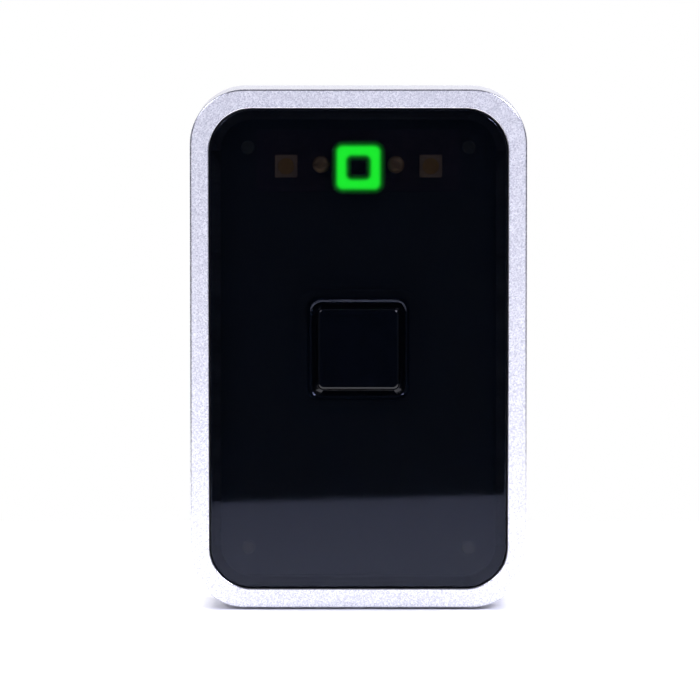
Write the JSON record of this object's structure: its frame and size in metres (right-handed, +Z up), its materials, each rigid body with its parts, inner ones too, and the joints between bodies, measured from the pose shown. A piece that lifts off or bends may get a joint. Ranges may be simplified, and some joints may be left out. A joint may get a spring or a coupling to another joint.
{
  "type": "fingerprint scanner terminal",
  "caption": "Wall fingerprint terminal: rounded silver frame, smoked gloss front with a sprung square finger pad, a lit square ring above it, rear cover and hooked wall plate.",
  "frame": {"origin": "centre of the wall plate's back face, in the plane of the wall", "axes": "+Z up, +Y into the wall, so the front faces -Y; +X to the right seen from the front"},
  "size_m": [0.075, 0.0298, 0.1156],
  "materials": {
    "silver_paint": "satin",
    "smoked_panel": "gloss",
    "pad_black": "gloss",
    "black_rubber": "matte",
    "black_plastic": "matte",
    "zinc_screw": "satin",
    "brass": "satin",
    "lamp_board": "satin",
    "green_board": "satin",
    "lamp_package": "gloss",
    "ring_light": "satin",
    "ivory_plastic": "matte",
    "flex_film": "satin",
    "spring_steel": "satin",
    "chip_black": "satin",
    "tin_plate": "satin",
    "can_aluminium": "satin",
    "ferrite": "matte",
    "relay_blue": "satin",
    "terminal_green": "satin",
    "plate_steel": "satin"
  },
  "bodies": {
    "terminal": {"front_shell": "silver_paint", "front_panel": "smoked_panel", "panel_gasket": "black_rubber", "inner_tray": "black_plastic", "tray_screws": "zinc_screw", "led_board": "lamp_board", "status_leds": "lamp_package", "ring_leds": "lamp_package", "ring_light_guide": "ring_light", "led_board_screws": "brass", "led_socket": "ivory_plastic", "led_ribbon": "flex_film", "pad_springs": "spring_steel", "sensor_flex": "flex_film", "sensor_socket": "ivory_plastic", "switch_body": "chip_black", "main_board": "green_board", "board_screws": "zinc_screw", "processor_chip": "chip_black", "memory_chip": "chip_black", "shield_can": "tin_plate", "crystal": "tin_plate", "capacitors": "can_aluminium", "power_inductor": "ferrite", "relay": "relay_blue", "terminal_block": "terminal_green", "terminal_screws": "zinc_screw", "buzzer": "chip_black", "battery_holder": "black_plastic", "clock_battery": "tin_plate", "tamper_switch": "chip_black", "tamper_spring": "spring_steel", "rear_seal": "black_rubber", "post_inserts": "brass", "rear_cover": "black_plastic", "wall_plate": "plate_steel", "security_screw": "zinc_screw"},
    "pad": {"scan_pad": "pad_black", "sensor_chip": "chip_black", "sensor_board": "green_board", "key_carrier": "black_plastic"},
    "switch_button": {"switch_plunger": "black_plastic"},
    "tamper_button": {"tamper_plunger": "ivory_plastic"}
  },
  "joints": [
    {"name": "pad_press", "type": "slide", "parent": "terminal", "child": "pad", "axis": [0, 1, 0], "range_m": [0, 0.0007], "stiffness_N_per_m": 1500, "springref_m": -0.0006, "deforming": ["pad_springs", "sensor_flex"]},
    {"name": "switch_press", "type": "slide", "parent": "terminal", "child": "switch_button", "axis": [0, 1, 0], "range_m": [0, 0.0007]},
    {"name": "tamper_press", "type": "slide", "parent": "terminal", "child": "tamper_button", "axis": [0, 1, 0], "range_m": [-0.0015, 0], "stiffness_N_per_m": 250, "springref_m": 0.001, "deforming": ["tamper_spring"]}
  ],
  "couplings": [
    {"joint": "switch_press", "follows": "pad_press", "ratio": 1}
  ]
}
